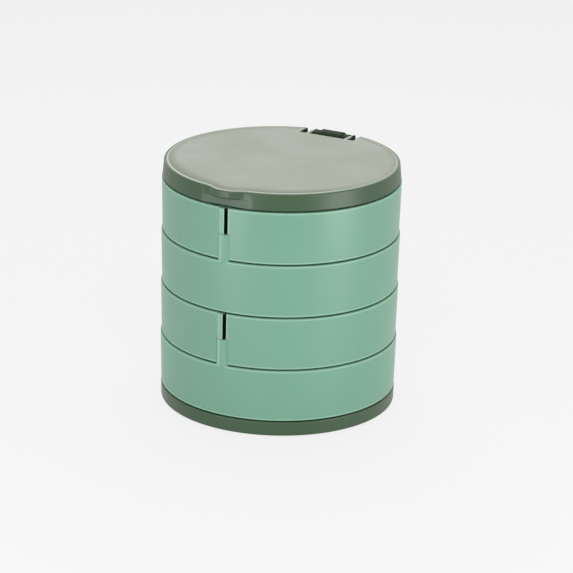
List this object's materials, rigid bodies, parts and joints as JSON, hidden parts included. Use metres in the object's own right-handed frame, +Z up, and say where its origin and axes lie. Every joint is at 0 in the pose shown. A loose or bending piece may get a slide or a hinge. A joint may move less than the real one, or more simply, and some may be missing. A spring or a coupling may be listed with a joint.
{
  "type": "rotating jewelry box",
  "caption": "Round jewelry box with stacked trays that swing out on upright pins at the rim, a low base and a hinged lid with a mirror.",
  "frame": {"origin": "centre of the bottom of the box on the stack's axis, at the level of the feet", "axes": "+Z up along the stack, -Y towards the finger lip and the two visible knuckles, +Y towards the lid hinge, +X to the right"},
  "size_m": [0.115, 0.1177, 0.1209],
  "materials": {
    "mint_plastic": "satin moulded, mint green",
    "sage_plastic": "satin moulded, dark sage green",
    "grey_plastic": "fine matte, warm grey",
    "foot_rubber": "matte",
    "bright_steel": "plated",
    "dark_steel": "blackened",
    "flocked_pad": "short flock on a moulded foam pad",
    "mirror_glass": "silvered glass"
  },
  "bodies": {
    "bottom_stack": {"base_shell": "sage_plastic", "rubber_foot_1": "foot_rubber", "rubber_foot_2": "foot_rubber", "rubber_foot_3": "foot_rubber", "rubber_foot_4": "foot_rubber", "base_screw_1": "bright_steel", "base_screw_2": "bright_steel", "base_screw_3": "bright_steel", "tray_4": "mint_plastic", "pivot_pin_3": "dark_steel"},
    "third_tray": {"tray_3": "mint_plastic", "pivot_pin_2": "dark_steel"},
    "second_tray": {"tray_2": "mint_plastic", "pivot_pin_1": "dark_steel"},
    "top_tray": {"tray_1": "mint_plastic", "ring_holder": "flocked_pad", "hinge_bracket": "sage_plastic", "hinge_pin": "bright_steel", "hinge_bracket_screw_1": "bright_steel", "hinge_bracket_screw_2": "bright_steel"},
    "lid": {"lid_shell": "sage_plastic", "lid_top_panel": "grey_plastic", "lid_mirror": "mirror_glass", "mirror_bezel": "sage_plastic"}
  },
  "joints": [
    {"name": "tray_3_swing", "type": "hinge", "parent": "bottom_stack", "child": "third_tray", "pos_m": [0, -0.0555, 0.03375], "axis": [0, 0, 1], "continuous": true},
    {"name": "tray_2_swing", "type": "hinge", "parent": "third_tray", "child": "second_tray", "pos_m": [0, 0.0555, 0.05975], "axis": [0, 0, 1], "continuous": true},
    {"name": "tray_1_swing", "type": "hinge", "parent": "second_tray", "child": "top_tray", "pos_m": [0, -0.0555, 0.08575], "axis": [0, 0, 1], "continuous": true},
    {"name": "lid_hinge", "type": "hinge", "parent": "top_tray", "child": "lid", "pos_m": [0, 0.0532, 0.11695], "axis": [-1, 0, 0], "range_deg": [0, 105]}
  ]
}
